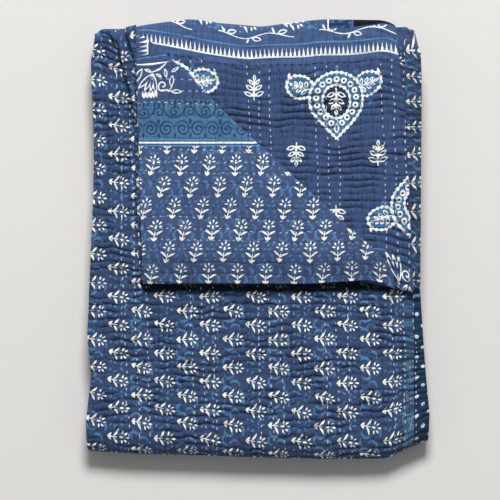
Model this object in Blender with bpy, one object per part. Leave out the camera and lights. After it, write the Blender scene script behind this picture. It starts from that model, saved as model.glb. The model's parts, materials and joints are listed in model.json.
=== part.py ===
"""A hand-quilted sari bedspread, folded for a shelf, with the free corner of its top ply turned down.

The cloth is one sheet. It is first pleated across its width into a strip of four plies, a to d, whose
two selvedges both end at the right. The strip is then folded along its length into six layers, and the
corner of the topmost ply is turned over along a diagonal. X runs to the right, Y towards the top edge
of the packet and Z up. The origin is under the middle of the packet, on the surface it lies on.
"""

import math

import bmesh
import bpy
import numpy as np

MM = 0.001

# Cloth, in millimetres like every size below
THICK = 2.2
PLY_GAP = 0.55
LAYER_GAP = 0.65
PLY_PITCH = THICK + PLY_GAP
STRIP_HALF = 1.5 * PLY_PITCH + THICK / 2
LAYER_PITCH = 2 * STRIP_HALF + LAYER_GAP
PLY_OFFSETS = {"a": -1.5 * PLY_PITCH, "b": -0.5 * PLY_PITCH, "c": 0.5 * PLY_PITCH, "d": 1.5 * PLY_PITCH}
FOLD_RADIUS = PLY_PITCH / 2

# Quilting: a ridge between each two stitches of the running stitch
RIDGE_DEPTH = 0.8
RIDGE_SWAY = 1.2
EDGE_HEM = 7.0
RIDGES_PER_ROW = {4: 5, 6: 7}
RIDGES_PER_TURN_STEP = 1

# Where the strip turns back, along Y, and how far the lowest turn is drawn out by its own slackness
BOTTOM_TURN_Y = -218.6
FLAP_TURN_Y = -38.0
TOP_TURN_Y = 229.0
FLAP_END_Y = 236.0
LOW_TOP_TURN_Y = 224.0
INNER_END_Y = 230.0
SLACK = 1.46
DROOP_DEGREES = 45.0
DROOP_RADIUS = 10.0

# The packet is highest near its middle and settles lower towards its free right edge
CROWN_X = -25.0
SETTLE_SHARE = 0.06
SETTLE_REACH = 200.0

# Where the packet's middle falls in the folding plan above
MIDDLE = (1.91, -0.06)

# The turned corner: its fold line, its legs, and how much they lean
FOLD_LINE_START = (-136.2, 237.5)
FOLD_LINE_END = (160.5, -38.0)
LEG_BELOW_TURN = 13.0
LEG_LEAN = 0.03

# X of the columns that every ply shares, and how far the packet's ends are pushed out there
COLUMNS = (-125.0, -75.0, -5.0, 75.0, 150.0)
END_SHAPE = (
    # x, top end, bottom end
    (-197.0, -4.0, 7.5),
    (-165.0, -6.0, 4.5),
    (-125.0, 2.0, 2.6),
    (-75.0, 8.5, 1.7),
    (-5.0, -1.5, -0.7),
    (75.0, 8.0, -2.9),
    (150.0, 7.0, -2.4),
    (200.0, -21.0, 20.0),
)
LOWER_TOP_SHARE = 0.3
SHARE_RISE = (30.0, 52.0)

# How far the flap's own edge is drawn down towards its right end
FLAP_SHAPE = ((-140.0, 0.0), (75.0, 0.0), (150.0, -7.0), (182.0, -16.0))
FLAP_SHAPE_REACH = 70.0
TOP_SHAPE_FROM_Y = 120.0
BOTTOM_SHAPE_FROM_Y = -120.0

# Side edges of each layer: left folds, right fold of plies b and c, selvedge of ply a and of ply d
SIDE_EDGES = {
    # layer: rows of y, left, right fold, selvedge a, selvedge d
    3: ((235.0, -186.0, 164.0, 168.0, 176.0), (-220.0, -190.0, 162.0, 158.0, 182.0)),
    2: ((235.0, -183.0, 168.0, 176.0, 172.0), (-220.0, -192.0, 160.0, 166.0, 186.0)),
    1: ((235.0, -181.0, 172.0, 178.0, 181.0), (0.0, -187.0, 168.0, 172.0, 184.0), (-220.0, -192.0, 161.0, 165.0, 197.0)),
    4: (
        (235.0, -184.5, 173.0, 176.0, 183.0),
        (200.0, -190.5, 174.0, 176.0, 184.0),
        (90.0, -186.0, 175.0, 176.0, 186.0),
        (-50.0, -192.0, 172.0, 174.0, 188.5),
        (-110.0, -194.5, 168.0, 170.0, 192.5),
        (-160.0, -190.0, 165.0, 167.0, 195.5),
        (-220.0, -196.5, 162.0, 164.0, 200.0),
    ),
    5: (
        (235.0, -161.0, 180.0, 189.5, 178.0),
        (200.0, -152.5, 181.0, 190.5, 179.0),
        (155.0, -140.5, 181.0, 190.5, 180.0),
        (-50.0, -134.0, 183.0, 189.0, 179.0),
    ),
    6: (
        (250.0, -152.0, 160.0, 157.0, 0.0),
        (212.0, -140.5, 164.5, 162.0, 0.0),
        (150.0, -136.5, 172.0, 170.0, 0.0),
        (-50.0, -130.5, 181.5, 179.0, 0.0),
    ),
}

FRONT_COLOUR = (0.055, 0.085, 0.24, 1.0)
ROUGHNESS = 0.88


class Strip:
    """The strip's middle line in the YZ plane: runs and half turns, measured by length from its inner end."""

    def __init__(self):
        self.pieces = []
        self.length = 0.0

    def run(self, layer, y0, y1, steps):
        heading = 0.0 if y1 > y0 else math.pi
        self._add("run", layer, layer, abs(y1 - y0), steps, (y0, layer_z(layer), heading, 0.0))

    def turn(self, layer, next_layer, y, steps, degrees=180.0, radius=None):
        """A turn away from heading in the sense that takes the strip from one layer to the next."""
        up = next_layer > layer
        heading = 0.0 if y > 0 and layer in (2, 4, 6) else math.pi
        radius = radius or abs(next_layer - layer) * LAYER_PITCH / 2
        sense = (1 if up else -1) * (1 if heading == 0.0 else -1)
        shape = (y, layer_z(layer), heading, sense / radius)
        self._add("turn", layer, next_layer, radius * math.radians(degrees), steps, shape)

    def _add(self, kind, layer, next_layer, length, steps, shape):
        piece = dict(kind=kind, layer=layer, next=next_layer, start=self.length, length=length, steps=steps, shape=shape)
        self.pieces.append(piece)
        self.length += length

    def piece_at(self, s):
        return next((p for p in self.pieces if s <= p["start"] + p["length"] + 1e-9), self.pieces[-1])

    def place(self, s, n):
        """The point at length s along the strip and n off its middle, as (y, z). The turned corner lies flat."""
        piece = self.piece_at(s)
        if n > PLY_OFFSETS["d"] + THICK and s < self.flap["start"]:
            piece = self.flap
        y, z, heading, curve = piece["shape"]
        along = s - piece["start"]
        if curve == 0.0:
            angle = heading
            y += along * math.cos(heading)
        else:
            angle = heading + along * curve
            y += (math.sin(angle) - math.sin(heading)) / curve
            z -= (math.cos(angle) - math.cos(heading)) / curve
        return y - n * math.sin(angle), z + n * math.cos(angle)

    @property
    def flap(self):
        return next(p for p in self.pieces if p["kind"] == "run" and p["layer"] == 6)

    def stations(self):
        """Lengths of the rows, each with the piece it lies in and its share along that piece."""
        rows = []
        for index, piece in enumerate(self.pieces):
            first = 0 if index == 0 else 1
            for k in range(first, piece["steps"] + 1):
                share = k / piece["steps"]
                rows.append((piece["start"] + share * piece["length"], piece, share))
        return rows


def layer_z(layer):
    return STRIP_HALF + (layer - 1) * LAYER_PITCH


def fold_strip():
    """The order in which the strip is laid: the first half inside the second, then the flap on top."""
    strip = Strip()
    strip.run(3, INNER_END_Y, BOTTOM_TURN_Y, 2)
    strip.turn(3, 2, BOTTOM_TURN_Y, 4)
    strip.run(2, BOTTOM_TURN_Y, LOW_TOP_TURN_Y, 2)
    strip.turn(2, 1, LOW_TOP_TURN_Y, 4)
    strip.run(1, LOW_TOP_TURN_Y, BOTTOM_TURN_Y, 2)
    strip.turn(1, 4, BOTTOM_TURN_Y, 8)
    strip.run(4, BOTTOM_TURN_Y, TOP_TURN_Y, 11)
    strip.turn(4, 5, TOP_TURN_Y, 6)
    strip.run(5, TOP_TURN_Y, FLAP_TURN_Y, 3)
    strip.turn(5, 6, FLAP_TURN_Y, 6)
    strip.run(6, FLAP_TURN_Y, FLAP_END_Y, 5)
    strip.turn(6, 3, FLAP_END_Y, 3, DROOP_DEGREES, DROOP_RADIUS)
    return strip


def edges_in(layer, y):
    """Left folds, right fold and the two selvedges of a layer at y."""
    rows = np.array(sorted(SIDE_EDGES[layer]))
    return np.array([np.interp(y, rows[:, 0], rows[:, k]) for k in range(1, 5)])


def edges_at(strip, s, piece, share):
    y = strip.place(s, 0.0)[0]
    if piece["kind"] == "run" or piece["layer"] == 6:
        return edges_in(piece["layer"], y)
    return (1 - share) * edges_in(piece["layer"], y) + share * edges_in(piece["next"], y)


def arc(x, n, radius, start, end, steps):
    """Inner stations of a small fold's arc, each with its outward direction in (x, n)."""
    angles = np.linspace(start, end, steps + 2)[1:-1]
    return [(x + radius * math.cos(t), n + radius * math.sin(t), math.cos(t), math.sin(t)) for t in angles]


def pleat(left, right_fold, selvedge_a, end_d):
    """The four plies in section, from selvedge a to the end of ply d: (x, n, normal x, normal n) each."""
    a, b, c, d = (PLY_OFFSETS[k] for k in "abcd")
    left, right_fold = left + PLY_PITCH, right_fold - PLY_PITCH
    inner = list(COLUMNS)
    stations = [(x, a, 0.0, -1.0) for x in (selvedge_a, *inner[::-1], left)]
    stations += arc(left, (a + b) / 2, FOLD_RADIUS, -math.pi / 2, -3 * math.pi / 2, 3)
    stations += [(x, b, 0.0, 1.0) for x in (left, *inner, right_fold)]
    stations += [(x, n, -ox, -on) for x, n, ox, on in arc(right_fold, 0.0, FOLD_RADIUS, -math.pi / 2, math.pi / 2, 3)]
    stations += [(x, c, 0.0, -1.0) for x in (right_fold, right_fold - EDGE_HEM, *inner[::-1], left)]
    stations += arc(left, (c + d) / 2, FOLD_RADIUS, -math.pi / 2, -3 * math.pi / 2, 3)
    narrow = end_d < right_fold - EDGE_HEM
    columns_d = [left + (end_d - left) * (x - left) / (right_fold - left) for x in inner] if narrow else inner
    hem = min(EDGE_HEM, 0.08 * (end_d - left))
    stations += [(x, d, 0.0, 1.0) for x in (left, left + hem, *columns_d, end_d - hem, end_d)]
    return stations


# Places of the stations along a row: ply c from its right fold, ply d, and the turned corner
PLY_C = (2 * len(COLUMNS) + 10, 3 * len(COLUMNS) + 12)
PLY_D = (3 * len(COLUMNS) + 16, 4 * len(COLUMNS) + 19)
CORNER = (PLY_D[1] + 4, PLY_D[1] + 5 + len(COLUMNS))


def fold_line():
    start, end = np.array(FOLD_LINE_START), np.array(FOLD_LINE_END)
    along = (end - start) / np.linalg.norm(end - start)
    return start, along, np.array([-along[1], along[0]])


def diagonal_x(y):
    (x0, y0), (x1, y1) = FOLD_LINE_START, FOLD_LINE_END
    return x0 + (x1 - x0) * (y - y0) / (y1 - y0)


def turned(end_d, s, s_leg):
    """The turned corner's row: round the fold line, then down to the leg, as (x, s, n, normal x, s, n)."""
    _, _, out = fold_line()
    centre_n = PLY_OFFSETS["d"] + FOLD_RADIUS
    stations = []
    for t in np.linspace(-math.pi / 2, math.pi / 2, 5)[1:-1]:
        reach = FOLD_RADIUS * math.cos(t)
        stations.append(
            (
                end_d + reach * out[0],
                s + reach * out[1],
                centre_n + FOLD_RADIUS * math.sin(t),
                -math.cos(t) * out[0],
                -math.cos(t) * out[1],
                -math.sin(t),
            )
        )
    n = PLY_OFFSETS["d"] + PLY_PITCH
    for share in np.linspace(0.0, 1.0, len(COLUMNS) + 2):
        down = share * (s - s_leg)
        stations.append((end_d + LEG_LEAN * down, s - down, n, 0.0, 0.0, -1.0))
    return stations


def end_shape(x, column):
    table = np.array(END_SHAPE)
    return float(np.interp(x, table[:, 0], table[:, column]))


def settle(x, y, z):
    """Pushes the packet's two ends out of line as they lie, and lets its sides sink a little."""
    if y < BOTTOM_TURN_Y:
        y = BOTTOM_TURN_Y + (y - BOTTOM_TURN_Y) * SLACK
    if z > 4 * LAYER_PITCH - LAYER_GAP and y < FLAP_TURN_Y + FLAP_SHAPE_REACH:
        near = min(1.0, (FLAP_TURN_Y + FLAP_SHAPE_REACH - y) / FLAP_SHAPE_REACH)
        y += near * float(np.interp(x, *zip(*FLAP_SHAPE)))
    rise = np.clip((z - SHARE_RISE[0]) / (SHARE_RISE[1] - SHARE_RISE[0]), 0.0, 1.0)
    upper = LOWER_TOP_SHARE + (1.0 - LOWER_TOP_SHARE) * rise
    top = np.clip((y - TOP_SHAPE_FROM_Y) / (TOP_TURN_Y - TOP_SHAPE_FROM_Y), 0.0, 1.0)
    bottom = np.clip((BOTTOM_SHAPE_FROM_Y - y) / (BOTTOM_SHAPE_FROM_Y - BOTTOM_TURN_Y), 0.0, 1.0)
    height = z * (1.0 - SETTLE_SHARE * ((x - CROWN_X) / SETTLE_REACH) ** 2)
    return x, y + top * upper * end_shape(x, 1) + bottom * end_shape(x, 2), height


def build_sheet(strip):
    """Rows of stations on the sheet's middle surface, as two skins THICK apart."""
    flap_start = strip.flap["start"]
    s_leg = flap_start - LEG_BELOW_TURN
    rows = []
    for s, piece, share in strip.stations():
        left, right_fold, selvedge_a, selvedge_d = edges_at(strip, s, piece, share)
        on_flap = s >= flap_start - 1e-6
        if on_flap:
            reach = diagonal_x(strip.place(s, PLY_OFFSETS["d"])[0]) - FOLD_RADIUS * 1.4
            selvedge_d = max(reach, left + PLY_PITCH + 9.0)
        elif piece["layer"] == 5 and piece["kind"] == "turn":
            selvedge_d += share * (diagonal_x(FLAP_TURN_Y) - FOLD_RADIUS * 1.4 - selvedge_d)
        stations = [(x, s, n, nx, 0.0, nn) for x, n, nx, nn in pleat(left, right_fold, selvedge_a, selvedge_d)]
        if on_flap:
            stations += turned(selvedge_d, s, s_leg)
        rows.append(stations)
    return rows


def skin_point(strip, station, side, sink=0.0):
    """A point of one skin, or sink further in towards the sheet's middle."""
    x, s, n, nx, ns, nn = station
    half = side * (THICK / 2 - sink)
    y, z = strip.place(s + ns * half, n + nn * half)
    x, y, z = settle(x + nx * half, y, z)
    return [MM * (x - MIDDLE[0]), MM * (y - MIDDLE[1]), MM * z]


def quilted_sides(strip, rows, i, j):
    """Which skins show their quilting between rows i and i + 1 and stations j and j + 1, and how finely."""
    piece = strip.stations()[i + 1][1]
    y = strip.place((rows[i][0][1] + rows[i + 1][0][1]) / 2, 0.0)[0]
    x = rows[i][j][0]
    layer, on_run = piece["layer"], piece["kind"] == "run"
    if PLY_D[0] <= j < PLY_D[1]:
        front = layer == 4 and on_run and (y < FLAP_TURN_Y or j < PLY_D[0] + 2)
        if front:
            return {1: 2 * RIDGES_PER_ROW[4]}
        if layer == 1 and piece["kind"] == "turn":
            return {1: 2 * RIDGES_PER_TURN_STEP}
    if layer == 6 and on_run:
        if PLY_C[0] <= j < PLY_C[1] and x > diagonal_x(y) - 30.0:
            return {-1: 2 * RIDGES_PER_ROW[6]}
        if CORNER[0] <= j < CORNER[1]:
            return {-1: 2 * RIDGES_PER_ROW[6]}
    return {}


def between(start, end, share):
    return tuple(p + (q - p) * share for p, q in zip(start, end))


def quilt_edges(strip, rows, bm, skins, quilted):
    """Points along each edge that borders a quilted face: troughs inside the quilting, none at its rim."""
    rng = np.random.default_rng(7)
    edges = {}
    for (i, j, side), count in quilted.items():
        for k in (j, j + 1):
            if (i, k, side) in edges:
                continue
            inside = (i, k - 1, side) in quilted and (i, k, side) in quilted
            start, end = skins[side][i][k].co, skins[side][i + 1][k].co
            verts = []
            for m in range(1, count):
                share = m / count
                if not inside:
                    verts.append(bm.verts.new(start.lerp(end, share)))
                    continue
                length = rows[i + 1][0][1] - rows[i][0][1]
                share += rng.uniform(-0.5, 0.5) * RIDGE_SWAY / length
                sink = RIDGE_DEPTH * rng.uniform(0.8, 1.0) if m % 2 else 0.0
                station = between(rows[i][k], rows[i + 1][k], share)
                verts.append(bm.verts.new(skin_point(strip, station, side, sink)))
            edges[(i, k, side)] = verts
    return edges


def fill(bm, ring, flip):
    """One polygon between two rails of points, as a strip where both are split and a fan where one is."""
    first, second = ring
    if len(first) == len(second):
        for a0, a1, b0, b1 in zip(first, first[1:], second, second[1:]):
            corners = [a0, b0, b1, a1]
            bm.faces.new(corners[::-1] if flip else corners)
        return
    long, short = (first, second) if len(first) > len(second) else (second, first)
    middle = len(long) // 2
    flip = flip != (long is second)
    for k, (a0, a1) in enumerate(zip(long, long[1:])):
        apex = short[0] if k < middle else short[-1]
        corners = [a0, apex, a1]
        bm.faces.new(corners[::-1] if flip else corners)
    corners = [long[middle], short[0], short[-1]]
    bm.faces.new(corners[::-1] if flip else corners)


def sheet_mesh(strip, rows):
    """Both skins, with the quilting that shows, and the rim that joins them wherever the sheet ends."""
    bm = bmesh.new()
    skins = {side: [[bm.verts.new(skin_point(strip, st, side)) for st in row] for row in rows] for side in (1, -1)}
    cells = [(i, j) for i in range(len(rows) - 1) for j in range(min(len(rows[i]), len(rows[i + 1])) - 1)]
    quilted = {}
    for i, j in cells:
        for side, count in quilted_sides(strip, rows, i, j).items():
            quilted[(i, j, side)] = count
    edges = quilt_edges(strip, rows, bm, skins, quilted)

    def rail(i, k, side):
        return [skins[side][i][k], *edges.get((i, k, side), []), skins[side][i + 1][k]]

    uses = set()
    for i, j in cells:
        for side in (1, -1):
            fill(bm, (rail(i, j, side), rail(i, j + 1, side)), side < 0)
        corners = ((i, j), (i, j + 1), (i + 1, j + 1), (i + 1, j))
        uses.update(zip(corners, corners[1:] + corners[:1]))
    for start, end in uses:
        if (end, start) in uses:
            continue
        (r0, k0), (r1, k1) = start, end
        if k0 == k1:
            low, flip = min(r0, r1), r1 > r0
            fill(bm, (rail(low, k0, 1), rail(low, k0, -1)), flip)
        else:
            bm.faces.new([skins[1][r1][k1], skins[1][r0][k0], skins[-1][r0][k0], skins[-1][r1][k1]])
    return bm


def make_object(name, bm):
    mesh = bpy.data.meshes.new(name)
    bm.to_mesh(mesh)
    bm.free()
    thing = bpy.data.objects.new(name, mesh)
    bpy.context.scene.collection.objects.link(thing)
    material = bpy.data.materials.new("indigo_cotton")
    material.use_nodes = True
    shader = material.node_tree.nodes["Principled BSDF"]
    shader.inputs["Base Color"].default_value = FRONT_COLOUR
    shader.inputs["Roughness"].default_value = ROUGHNESS
    shader.inputs["Metallic"].default_value = 0.0
    mesh.materials.append(material)
    return thing


def main():
    for thing in list(bpy.data.objects):
        bpy.data.objects.remove(thing)
    strip = fold_strip()
    rows = build_sheet(strip)
    bm = sheet_mesh(strip, rows)
    bmesh.ops.recalc_face_normals(bm, faces=bm.faces)
    points = np.array([v.co for v in bm.verts])
    print("low", points.min(axis=0), "high", points.max(axis=0))
    make_object("bedspread", bm)
    print("strip length", round(strip.length), "mm, rows", len(rows), "stations", len(rows[0]), len(rows[-1]))


main()
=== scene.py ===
# %% [markdown]
# # A folded, hand-quilted bedspread
# The real thing is a bedspread of block-printed indigo cotton. Two or three layers of soft old cloth are
# held together by thousands of running stitches, which draw the cloth up into fine uneven ridges. It has
# been pleated into a strip, folded into a packet, and the free corner of its top ply is turned down.
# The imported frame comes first, because everything made here has to lie where its one solid lies.

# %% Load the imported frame
import json
import math

import bmesh
import bpy
import numpy as np
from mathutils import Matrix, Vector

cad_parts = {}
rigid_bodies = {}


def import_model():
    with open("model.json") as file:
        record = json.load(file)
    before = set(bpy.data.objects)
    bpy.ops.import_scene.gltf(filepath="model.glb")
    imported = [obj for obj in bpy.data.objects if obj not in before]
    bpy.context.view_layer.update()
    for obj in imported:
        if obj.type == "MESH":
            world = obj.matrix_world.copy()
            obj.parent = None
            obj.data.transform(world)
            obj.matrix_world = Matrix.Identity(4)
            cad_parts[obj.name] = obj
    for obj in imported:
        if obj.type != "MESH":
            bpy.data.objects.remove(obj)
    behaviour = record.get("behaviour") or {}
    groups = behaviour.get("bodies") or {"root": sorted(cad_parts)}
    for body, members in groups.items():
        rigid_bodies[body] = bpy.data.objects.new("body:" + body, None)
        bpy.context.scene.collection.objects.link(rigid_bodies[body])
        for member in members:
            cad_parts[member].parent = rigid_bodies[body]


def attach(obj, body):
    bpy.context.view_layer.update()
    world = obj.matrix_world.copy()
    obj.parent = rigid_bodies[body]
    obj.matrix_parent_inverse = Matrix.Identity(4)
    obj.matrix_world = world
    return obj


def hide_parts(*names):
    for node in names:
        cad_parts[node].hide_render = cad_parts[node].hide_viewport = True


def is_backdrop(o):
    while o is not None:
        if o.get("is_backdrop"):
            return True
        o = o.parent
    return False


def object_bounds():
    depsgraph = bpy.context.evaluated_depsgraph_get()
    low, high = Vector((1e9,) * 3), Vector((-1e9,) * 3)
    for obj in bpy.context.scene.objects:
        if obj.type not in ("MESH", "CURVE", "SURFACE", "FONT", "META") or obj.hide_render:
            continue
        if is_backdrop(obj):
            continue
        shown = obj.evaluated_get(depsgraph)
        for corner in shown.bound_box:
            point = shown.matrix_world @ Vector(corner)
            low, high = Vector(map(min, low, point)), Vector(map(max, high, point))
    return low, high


for thing in list(bpy.data.objects):
    bpy.data.objects.remove(thing)
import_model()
cad_box = [list(corner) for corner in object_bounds()]
print("the packed bedspread fills", np.round(np.subtract(*cad_box[::-1]) * 1000, 1), "mm")

# %% [markdown]
# ## The cloth's own sizes
# The shape could be draped by Blender's cloth simulation, but three and a half square metres of quilt in six
# layers would slide about for hours. It is steadier to work the folds out: the cloth is one strip of four
# plies, and the strip is a chain of straight runs and half turns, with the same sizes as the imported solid.

# %% Sizes in millimetres
MM = 0.001
THICK, PLY_GAP, LAYER_GAP = 2.2, 0.55, 0.65
PLY_PITCH = THICK + PLY_GAP
STRIP_HALF = 1.5 * PLY_PITCH + THICK / 2
LAYER_PITCH = 2 * STRIP_HALF + LAYER_GAP
PLY_OFFSETS = {"a": -1.5 * PLY_PITCH, "b": -0.5 * PLY_PITCH, "c": 0.5 * PLY_PITCH, "d": 1.5 * PLY_PITCH}
FOLD_RADIUS = PLY_PITCH / 2
BOTTOM_TURN_Y, FLAP_TURN_Y, TOP_TURN_Y, FLAP_END_Y = -218.6, -38.0, 229.0, 236.0
LOW_TOP_TURN_Y, INNER_END_Y = 224.0, 230.0
SLACK, DROOP_DEGREES, DROOP_RADIUS = 1.46, 45.0, 10.0
MIDDLE = (1.91, -0.06)
FOLD_LINE_START, FOLD_LINE_END = np.array((-136.2, 237.5)), np.array((160.5, -38.0))
LEG_BELOW_TURN, LEG_LEAN = 13.0, 0.03
print(f"a layer of four plies is {2 * STRIP_HALF:.1f} mm thick, and layers lie {LAYER_PITCH:.1f} mm apart")

# %% [markdown]
# ## The strip's path
# Seen from its right side the strip runs back and forth: its inner half first, then round the outside of
# that half, and at last up and down again as the flap on top. Each run and each half turn is a row of
# numbers in one table. A place on the strip is then a sum worked out for whole arrays at once.

# %% Lay the strip out as runs and half turns
def layer_height(layer):
    return STRIP_HALF + (layer - 1) * LAYER_PITCH


def lay_strip():
    """Rows of (layer, next layer, start length, length, y, z, heading, curvature), inner end first."""
    table, length = [], 0.0

    def run(layer, y0, y1):
        nonlocal length
        heading = 0.0 if y1 > y0 else math.pi
        table.append((layer, layer, length, abs(y1 - y0), y0, layer_height(layer), heading, 0.0))
        length += abs(y1 - y0)

    def turn(layer, following, y, degrees=180.0, radius=None):
        nonlocal length
        radius = radius or abs(following - layer) * LAYER_PITCH / 2
        heading = 0.0 if y > 0 and layer in (2, 4, 6) else math.pi
        sense = (1 if following > layer else -1) * (1 if heading == 0.0 else -1)
        arc = radius * math.radians(degrees)
        table.append((layer, following, length, arc, y, layer_height(layer), heading, sense / radius))
        length += arc

    run(3, INNER_END_Y, BOTTOM_TURN_Y)
    turn(3, 2, BOTTOM_TURN_Y)
    run(2, BOTTOM_TURN_Y, LOW_TOP_TURN_Y)
    turn(2, 1, LOW_TOP_TURN_Y)
    run(1, LOW_TOP_TURN_Y, BOTTOM_TURN_Y)
    turn(1, 4, BOTTOM_TURN_Y)
    run(4, BOTTOM_TURN_Y, TOP_TURN_Y)
    turn(4, 5, TOP_TURN_Y)
    run(5, TOP_TURN_Y, FLAP_TURN_Y)
    turn(5, 6, FLAP_TURN_Y)
    run(6, FLAP_TURN_Y, FLAP_END_Y)
    turn(6, 3, FLAP_END_Y, DROOP_DEGREES, DROOP_RADIUS)
    return np.array(table)


PATH = lay_strip()
LAYER, FOLLOWING, START, LENGTH, PATH_Y, PATH_Z, HEADING, CURVE = PATH.T
BIG_TURN, FRONT, TOP_TURN, FLAP_TURN, FLAP, DROOP = 5, 6, 7, 9, 10, 11
print(f"the strip is {START[-1] + LENGTH[-1]:.0f} mm long in {len(PATH)} runs and turns")


# %% Place a length along the strip, and a distance off its middle, in the room
def place(s, n, flat=False):
    """(y, z): along each row's circle or straight line by s, then n at right angles to it."""
    k = np.clip(np.searchsorted(START, s - 1e-9, side="right") - 1, 0, len(PATH) - 1)
    if flat:
        k = np.maximum(k, FLAP)
    along, heading, curve = s - START[k], HEADING[k], CURVE[k]
    straight = curve == 0.0
    angle = heading + along * curve
    bend = np.where(straight, 1.0, curve)
    y = PATH_Y[k] + np.where(straight, along * np.cos(heading), (np.sin(angle) - np.sin(heading)) / bend)
    z = PATH_Z[k] - np.where(straight, 0.0, (np.cos(angle) - np.cos(heading)) / bend)
    return y - n * np.sin(angle), z + n * np.cos(angle)


print("the flap's turn is", np.round(place(np.array([START[FLAP_TURN]]), np.array([0.0])), 1))

# %% [markdown]
# ## How wide each layer lies
# No two layers of a hand-folded quilt line up. Each layer's left folds, right fold and two selvedges get a
# short table of places along the packet, and a row between two of them is read off in a straight line.
# The flap's top ply ends at the fold line of the turned corner instead of at its selvedge.

# %% Side edges of each layer: y, left folds, right fold, selvedge a, selvedge d
SIDE_EDGES = {
    3: ((-220.0, -190.0, 162.0, 158.0, 182.0), (235.0, -186.0, 164.0, 168.0, 176.0)),
    2: ((-220.0, -192.0, 160.0, 166.0, 186.0), (235.0, -183.0, 168.0, 176.0, 172.0)),
    1: (
        (-220.0, -192.0, 161.0, 165.0, 197.0),
        (0.0, -187.0, 168.0, 172.0, 184.0),
        (235.0, -181.0, 172.0, 178.0, 181.0),
    ),
    4: (
        (-220.0, -196.5, 162.0, 164.0, 200.0),
        (-160.0, -190.0, 165.0, 167.0, 195.5),
        (-110.0, -194.5, 168.0, 170.0, 192.5),
        (-50.0, -192.0, 172.0, 174.0, 188.5),
        (90.0, -186.0, 175.0, 176.0, 186.0),
        (200.0, -190.5, 174.0, 176.0, 184.0),
        (235.0, -184.5, 173.0, 176.0, 183.0),
    ),
    5: (
        (-50.0, -134.0, 183.0, 189.0, 179.0),
        (155.0, -140.5, 181.0, 190.5, 180.0),
        (200.0, -152.5, 181.0, 190.5, 179.0),
        (235.0, -161.0, 180.0, 189.5, 178.0),
    ),
    6: (
        (-50.0, -130.5, 181.5, 179.0, 0.0),
        (150.0, -136.5, 172.0, 170.0, 0.0),
        (212.0, -140.5, 164.5, 162.0, 0.0),
        (250.0, -152.0, 160.0, 157.0, 0.0),
    ),
}
DIAGONAL_ROOM = FOLD_RADIUS * 1.4
NARROWEST_PLY = 9.0


def diagonal_x(y):
    (x0, y0), (x1, y1) = FOLD_LINE_START, FOLD_LINE_END
    return x0 + (x1 - x0) * (y - y0) / (y1 - y0)


def edges_in(layer, y):
    rows = np.array(SIDE_EDGES[layer])
    return np.stack([np.interp(y, rows[:, 0], rows[:, k]) for k in range(1, 5)])


def side_edges(s, k):
    """Left folds, right fold, selvedge a and end of ply d for rows s in the path's row k."""
    y = place(s, 0.0 * s)[0]
    share = (s - START[k]) / LENGTH[k]
    edges = edges_in(LAYER[k], y)
    if CURVE[k] != 0.0 and k != DROOP:
        edges = (1 - share) * edges + share * edges_in(FOLLOWING[k], y)
    if k == FLAP_TURN:
        edges[3] += share * (diagonal_x(FLAP_TURN_Y) - DIAGONAL_ROOM - edges[3])
    if k >= FLAP:
        reach = diagonal_x(place(s, PLY_OFFSETS["d"] + 0.0 * s)[0]) - DIAGONAL_ROOM
        edges[3] = np.maximum(reach, edges[0] + PLY_PITCH + NARROWEST_PLY)
    return edges


halfway = np.array([START[FRONT] + LENGTH[FRONT] / 2])
print("edges halfway up the front layer:", np.round(side_edges(halfway, FRONT).ravel(), 1))

# %% [markdown]
# ## Where the rows go
# A quilt's ridges are only eight millimetres apart, so the rows that show lie two millimetres apart. Rows
# inside the packet can't be seen, and there a few are enough to carry the fold. That keeps one closed sheet
# under the number of faces that the library can store whole.

# %% Rows of the mesh along the strip
def row_lengths(k, count, first=0.0):
    return START[k] + LENGTH[k] * np.linspace(first, 1.0, count + 1)[1:]


FINE_START = 1.0 - 30.0 / LENGTH[4]
COARSE_ROWS = START[4] + LENGTH[4] * FINE_START * np.linspace(0, 1, 7)[1:]
ROW_COUNTS = (6, 8, 6, 8, 14, 56, 224, 14, 10, 14, 137, 8)
ROWS = [(k, row_lengths(k, count)) for k, count in enumerate(ROW_COUNTS)]
ROWS[0] = (0, np.r_[0.0, row_lengths(0, ROW_COUNTS[0])])
ROWS[4] = (4, np.r_[COARSE_ROWS, row_lengths(4, ROW_COUNTS[4], FINE_START)])
row_s = np.concatenate([s for _, s in ROWS])
row_edges = np.concatenate([side_edges(s, k) for k, s in ROWS], axis=1)


def row_of(length):
    return int(np.argmin(abs(row_s - length)))


BLOCKS = [0, row_of(COARSE_ROWS[-1]), row_of(START[TOP_TURN]), row_of(START[FLAP]), len(row_s) - 1]
print(len(row_s), "rows; blocks end at rows", BLOCKS[1:])

# %% [markdown]
# ## The section of the strip
# Across its width the strip is four flat plies joined by small half-round folds, like a pleated fan. Each
# stretch of it, named a, ab, b and so on, is a function of the row and of how far along that stretch a
# point lies. It also gives the direction at right angles to the cloth, which the two skins are set off by.
# The diagonal fold tapers towards its end, so that it doesn't poke out past the flap's free end.

# %% Points of one stretch of the section
ALONG_FOLD = (FOLD_LINE_END - FOLD_LINE_START) / np.linalg.norm(FOLD_LINE_END - FOLD_LINE_START)
OUT_OF_FOLD = np.array([-ALONG_FOLD[1], ALONG_FOLD[0]])
LEG_S = START[FLAP] - LEG_BELOW_TURN
TIP_TAPER, TIP_LEFT = 12.0, 0.2


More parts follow.
